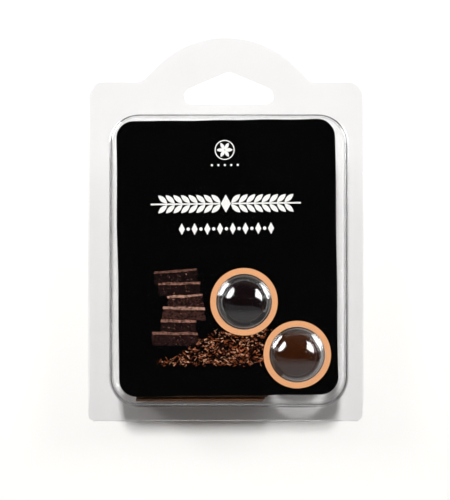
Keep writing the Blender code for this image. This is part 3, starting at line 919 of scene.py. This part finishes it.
slab_parts = [
    prisms(slab_shapes(0.0, FACE_END, 0.38), INK_FOOT, CARD_TOP + 0.012 + 0.002 * np.arange(slab_count)),
    prisms(slab_shapes(EDGE_START, 1.0, 0.2), INK_FOOT, INK_TOP),
]
slabs = add_piece("printed_slabs", slab_parts, brown_inks, smooth=False)
slab_colours = [mixed_colours(SLAB_BROWNS, slab_count, draw), mixed_colours(SLAB_EDGES, slab_count, draw)]
paint(slabs, np.vstack(slab_colours), 2 * slab_parts[0][2].shape[1])

# %% [markdown]
# Crumbs speckle the slabs' faces. Each picks a slab, a place across it and a height on it at random, and
# follows its lean.

# %% Print the crumbs on the slabs
CRUMB_BROWNS = ["#170d0b", "#38221d", "#6e483c", "#a97d6b"]
CRUMB_COUNT, CRUMB_LENGTHS = 330, (0.25, 0.8)
host = draw.integers(0, slab_count, CRUMB_COUNT)
across = draw.uniform(-0.47, 0.47, CRUMB_COUNT) * slab_width[host]
crumb_rise = slab_height * draw.uniform(0.05, 1.0, CRUMB_COUNT)
crumb_y = slab_low[host] + across * np.sin(slab_lean[host]) + crumb_rise
crumb_places = np.column_stack([slab_middle[host] + across, crumb_y]) - CARD_CENTRE
crumb_tops = stacked_tops(0.035, 0.02, CRUMB_COUNT, draw)
crumb_parts = [slivers(crumb_places, draw.uniform(*CRUMB_LENGTHS, CRUMB_COUNT), draw, crumb_tops)]
crumbs = add_piece("printed_crumbs", crumb_parts, brown_inks, smooth=False)
paint(crumbs, mixed_colours(CRUMB_BROWNS, CRUMB_COUNT, draw), 2 * SLIVER_STEPS)

# %% [markdown]
# The balls are moulded sweets. A cast ball is never quite round, so its radius varies by a few thousandths
# over long waves. The surface is a grid of a polar angle and an angle round, and each pole merges to a point.

# %% Draw a cast ball
BALL_UNEVENNESS = 0.0015


def ball_surface(centre, radius, seed, rows=72, columns=128):
    """A sphere's points. Its radius is multiplied by 1 + BALL_UNEVENNESS * three sine waves of direction."""
    draw = np.random.default_rng(seed)
    polar = np.linspace(0, np.pi, rows)[:, None]
    around = np.linspace(0, 2 * np.pi, columns, endpoint=False)[None, :]
    sides = np.sin(polar) * np.cos(around), np.sin(polar) * np.sin(around), np.cos(polar)
    direction = np.stack(np.broadcast_arrays(*sides), axis=-1)
    waves = sum(np.sin(direction @ draw.normal(0, 2.2, 3) + draw.uniform(0, 6)) for _ in range(3))
    points = centre + radius * (1 + BALL_UNEVENNESS * waves[..., None]) * direction
    return points.reshape(-1, 3), grid_faces(rows, columns)


print("the balls' middles lie at", {name: middle.round(2).tolist() for name, middle in ball_middles.items()})

# %% [markdown]
# Chocolate balls are tumbled with confectioner's glaze, a clear hard shellac, and rubbed. The body is dark
# and the glaze smooth, so the light in it is sharp, with the faint unevenness of rubbing marks at its edges.


# %% Mix the glazed chocolate and make the balls
def glazed_chocolate(name, hex_colour, deep_hex):
    """Chocolate under a clear glaze: a dark body, faint cloudiness and a smooth coat."""
    made, tree, shader = new_material(
        name, Roughness=0.06, IOR=1.5, Coat_Weight=1.0, Coat_Roughness=0.03, Coat_IOR=1.6
    )
    place = object_place(tree)
    # Cloudiness of the glaze, patches of about 4 mm
    clouds = add_node(tree, "ShaderNodeTexNoise", {"Vector": place, "Scale": 250.0, "Detail": 3.0})
    # Rubbing marks and pores of about 0.3 mm
    pores = add_node(tree, "ShaderNodeTexNoise", {"Vector": place, "Scale": 3300.0, "Detail": 2.0})
    colours = (deep_hex, hex_colour)
    shade_and_bump(tree, shader, clouds.outputs["Fac"], colours, pores.outputs["Fac"], 0.08, 0.00002)
    return made


BALL_FINISHES = {
    "upper": ("dark_glazed_chocolate", "#150c0e", "#0c0607", "dark_chocolate", 122),
    "lower": ("milk_glazed_chocolate", "#3c1d0c", "#2a1307", "milk_chocolate", 113),
}
for name, (finish, colour, deep, slot_name, seed) in BALL_FINISHES.items():
    surface = ball_surface(ball_middles[name], BALL_RADIUS, seed)
    shell = glazed_chocolate(finish, colour, deep)
    add_piece("glazed_ball_" + name, [surface], shell, ["ball_" + name])

# %% [markdown]
# The slip is thin unbleached paper, folded to and fro. Its fibres are short and lie every way, so the paper
# is matt and speckled. It keeps the CAD shape and gets a paper finish, whose dark browns hold the paper's own
# brown and painted shade for its place deep in the tray.


# %% Mix the brown paper
def kraft_paper_painted_shade():
    """Unbleached kraft paper: a brown of short fibres darkened by painted shade, lighter and darker specks,
    and no gloss.
    """
    made, tree, shader = new_material("kraft_paper_painted_shade", Roughness=0.85)
    # Fibres and specks of about 0.4 mm
    noise = {"Vector": object_place(tree), "Scale": 2600.0, "Detail": 4.0}
    fibres = add_node(tree, "ShaderNodeTexNoise", noise).outputs["Fac"]
    # Both browns are darkened by painted shade, on top of the paper's own brown
    shade_and_bump(tree, shader, fibres, ("#3c2211", "#6e4526"), fibres, 0.3, 0.00005, ends=(0.3, 0.7))
    return made


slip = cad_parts["paper_slip"]
slip.data.materials.clear()
slip.data.materials.append(kraft_paper_painted_shade())
print("paper_slip wears", slip.data.materials[0].name)

# %% [markdown]
# The pack lies on a white table. Where gloss shows it, the table turns dark grey round and beyond the pack,
# as if it ended there, which keeps the rims of the balls dark. The share of grey is the count of glossy
# bounces times a fade that grows from 0 to 1 across an oval band, and at most 1.

# %% Lay the white table
TABLE_HALF, TABLE_LEVEL = 3.0, -0.0001
OVAL_Y, OVAL_HALF_X, OVAL_HALF_Y, FADE_START, FADE_END = -0.008, 0.056, 0.068, 1.08, 1.42


def add_stage_sheet(name, corners, material):
    """A flat sheet of the studio, with its corners in metres."""
    mesh = bpy.data.meshes.new(name)
    mesh.from_pydata(corners, [], [tuple(range(len(corners)))])
    mesh.materials.append(material)
    sheet = bpy.data.objects.new(name, mesh)
    bpy.context.scene.collection.objects.link(sheet)
    print("stage:", name)
    return sheet


def matt_white_table():
    """Matt white paint without sheen, and dark grey beyond the oval for light that has met gloss.

    The scaled place is (x / OVAL_HALF_X, (y - OVAL_Y) / OVAL_HALF_Y), whose length is 1 on the oval.
    """
    made, tree, shader = new_material("matt_white_table", Base_Color=linear("#f3f3f3"), Roughness=0.9)
    wire(shader, {"Specular IOR Level": 0.0})
    in_gloss = add_node(tree, "ShaderNodeBsdfDiffuse", {"Color": linear("#2c2c2e")})
    oval = {
        "Vector": object_place(tree),
        "Scale": (1 / OVAL_HALF_X, 1 / OVAL_HALF_Y, 1.0),
        "Location": (0.0, -OVAL_Y / OVAL_HALF_Y, 0.0),
    }
    scaled = add_node(tree, "ShaderNodeMapping", oval).outputs[0]
    distance = add_node(tree, "ShaderNodeVectorMath", {0: scaled}, operation="LENGTH").outputs["Value"]
    fade = {"Value": distance, "From Min": FADE_START, "From Max": FADE_END}
    beyond = add_node(tree, "ShaderNodeMapRange", fade).outputs[0]
    bounces = add_node(tree, "ShaderNodeLightPath", {}).outputs["Glossy Depth"]
    factors = {0: bounces, 1: beyond}
    share = add_node(tree, "ShaderNodeMath", factors, operation="MULTIPLY", use_clamp=True).outputs[0]
    mixed = add_node(tree, "ShaderNodeMixShader", {0: share, 1: shader.outputs[0], 2: in_gloss.outputs[0]})
    wire(tree.nodes["Material Output"], {"Surface": mixed.outputs[0]})
    return made


signs = ((-1, -1), (1, -1), (1, 1), (-1, 1))
table_corners = [(x * TABLE_HALF, y * TABLE_HALF, TABLE_LEVEL) for x, y in signs]
add_stage_sheet("table", table_corners, matt_white_table())

# %% [markdown]
# A soft key lamp beyond the tab throws the shadow towards the fold, and a fill lamp at each side lightens the
# shadow's ends. Clear plastic shows every lamp round it, so these three are kept out of its gloss. Two
# softboxes low at the sides do the opposite: they give no shadow, only the highlights on the balls and domes.

# %% Hang the lamps
LAMP_COLOUR = (1.0, 0.99, 0.972)
KEY_DIRECTION, KEY_DISTANCE, KEY_SIZE, KEY_POWER = (-0.03, 0.65, 1.0), 1.2, (0.13, 0.26), 14.7
FILL_DIRECTION, FILL_DISTANCE, FILL_SIZE, FILL_POWER = (0.9, 0.62, 0.5), 1.5, 0.4, 6.0
SOFTBOX_DISTANCE, SOFTBOX_RADIANCE = 0.8, 14.5


def add_lamp(name, direction, distance, power, hidden_from, **settings):
    """An area lamp at a distance in metres along a direction from the pack, turned to shine at the pack."""
    data = bpy.data.lights.new(name, "AREA")
    data.energy = power
    for key, value in settings.items():
        setattr(data, key, value)
    place = Vector(direction).normalized() * distance
    lamp = bpy.data.objects.new(name, data)
    lamp.location = place
    lamp.rotation_euler = (-place).to_track_quat("-Z", "Y").to_euler()
    for sense in hidden_from:
        setattr(lamp, "visible_" + sense, False)
    bpy.context.scene.collection.objects.link(lamp)
    print(name, round(power, 2), "W at", [round(value, 2) for value in place], "m")
    return lamp


soft = {"hidden_from": ("glossy", "transmission", "camera"), "color": LAMP_COLOUR}
key_form = {"shape": "RECTANGLE", "size": KEY_SIZE[0], "size_y": KEY_SIZE[1]}
add_lamp("key_lamp", KEY_DIRECTION, KEY_DISTANCE, KEY_POWER, **soft, **key_form)
for name, side in (("left_fill_lamp", -1), ("right_fill_lamp", 1)):
    direction = (side * FILL_DIRECTION[0], *FILL_DIRECTION[1:])
    add_lamp(name, direction, FILL_DISTANCE, FILL_POWER, **soft, shape="SQUARE", size=FILL_SIZE)

SOFTBOXES = {
    "left_softbox": ((-0.83, 0.49, 0.27), "DISK", 0.56, math.pi / 4),
    "right_softbox": ((0.86, 0.40, 0.30), "SQUARE", 0.48, 1.0),
}
for name, (direction, shape, size, share_of_square) in SOFTBOXES.items():
    # A lamp of an even radiance has a power of radiance * pi * area
    power = SOFTBOX_RADIANCE * math.pi * size * size * share_of_square
    form = {"shape": shape, "size": size}
    softbox = add_lamp(name, direction, SOFTBOX_DISTANCE, power, ("diffuse", "camera"), **form)
softbox.rotation_euler.rotate_axis("Z", math.radians(45))

# %% [markdown]
# A long low reflector stands on the side of the fold. It gives each ball its paler lower half. Its glow fades
# towards its top, so the line between the halves is soft. Only gloss and the clear sheet show it.

# %% Stand the low reflector
REFLECTOR_LEFT, REFLECTOR_RIGHT, REFLECTOR_Y = -5.0, 0.55, -0.25
REFLECTOR_HEIGHT, REFLECTOR_GLOW, EVEN_SHARE = 0.95, 0.27, 0.6


def fading_card():
    """A card whose glow is REFLECTOR_GLOW up to EVEN_SHARE of its height and fades to nothing at its top."""
    made, tree, _ = new_material("white_reflector_card")
    height = add_node(tree, "ShaderNodeSeparateXYZ", {"Vector": object_place(tree)}).outputs["Z"]
    fade = {"Value": height, "From Min": REFLECTOR_HEIGHT, "From Max": REFLECTOR_HEIGHT * EVEN_SHARE}
    fade.update({"To Min": 0.0, "To Max": REFLECTOR_GLOW})
    glow = add_node(tree, "ShaderNodeMapRange", fade).outputs[0]
    emission = add_node(tree, "ShaderNodeEmission", {"Strength": glow})
    wire(tree.nodes["Material Output"], {"Surface": emission.outputs[0]})
    return made


reflector_corners = [
    (REFLECTOR_RIGHT, REFLECTOR_Y, 0.0),
    (REFLECTOR_LEFT, REFLECTOR_Y, 0.0),
    (REFLECTOR_LEFT, REFLECTOR_Y, REFLECTOR_HEIGHT),
    (REFLECTOR_RIGHT, REFLECTOR_Y, REFLECTOR_HEIGHT),
]
reflector = add_stage_sheet("low_reflector", reflector_corners, fading_card())
for sense in ("camera", "diffuse", "shadow"):
    setattr(reflector, "visible_" + sense, False)

# %% [markdown]
# The rest of the studio is dark, because clear plastic shows what is round it. Gloss sees a faint glow along
# the horizon, diffuse light comes from a dim warm room, and the camera sees white beyond the table.

# %% Darken the studio
HORIZON_HEIGHT, HORIZON_GLOW, ZENITH_GLOW, ROOM_GLOW, CAMERA_WHITE = 0.35, 0.17, 0.003, 0.2, 1.2
world = bpy.data.worlds.new("studio")
bpy.context.scene.world = world
world.use_nodes = True
tree = world.node_tree
path = add_node(tree, "ShaderNodeLightPath", {})
direction = add_node(tree, "ShaderNodeTexCoord", {}).outputs["Generated"]
rise = add_node(tree, "ShaderNodeSeparateXYZ", {"Vector": direction}).outputs["Z"]
fall = {"Value": rise, "From Max": HORIZON_HEIGHT, "To Min": HORIZON_GLOW, "To Max": ZENITH_GLOW}
horizon = add_node(tree, "ShaderNodeMapRange", fall).outputs[0]
seen = add_node(tree, "ShaderNodeBackground", {"Color": (1.0, 0.93, 0.95, 1.0), "Strength": horizon})
room = add_node(tree, "ShaderNodeBackground", {"Color": (1.0, 0.96, 0.92, 1.0), "Strength": ROOM_GLOW})
white = wire(tree.nodes["Background"], {"Color": (1.0, 1.0, 1.0, 1.0), "Strength": CAMERA_WHITE})
for ray, background in (("Is Diffuse Ray", room), ("Is Camera Ray", white)):
    inputs = {0: path.outputs[ray], 1: seen.outputs[0], 2: background.outputs[0]}
    seen = add_node(tree, "ShaderNodeMixShader", inputs)
wire(tree.nodes["World Output"], {"Surface": seen.outputs[0]})
bpy.context.scene.view_settings.view_transform = "Standard"
print("world", world.name, "with", len(tree.nodes), "nodes")

# %% [markdown]
# The camera looks straight down on the pack from 0.8 m, as a copy stand's camera does. Its height and lens
# make one millimetre on the flange 2.78 pixels of a picture 500 pixels high.

# %% Set up the camera
PICTURE_HEIGHT, PIXELS_PER_MM, SENSOR = 500, 2.78, 24.0
CAMERA_DISTANCE = 800.0
CAMERA_AIM = np.array((-0.144, -7.31))
camera_data = bpy.data.cameras.new("camera")
camera_data.sensor_fit = "VERTICAL"
camera_data.sensor_height = SENSOR
camera_data.lens = SENSOR * CAMERA_DISTANCE / (PICTURE_HEIGHT / PIXELS_PER_MM)
camera = bpy.data.objects.new("camera", camera_data)
camera.location = (*(CAMERA_AIM * MM), (LID_FLANGE_LEVEL + CAMERA_DISTANCE) * MM)
bpy.context.scene.collection.objects.link(camera)
bpy.context.scene.camera = camera
print("the lens is", round(camera_data.lens, 1), "mm long")
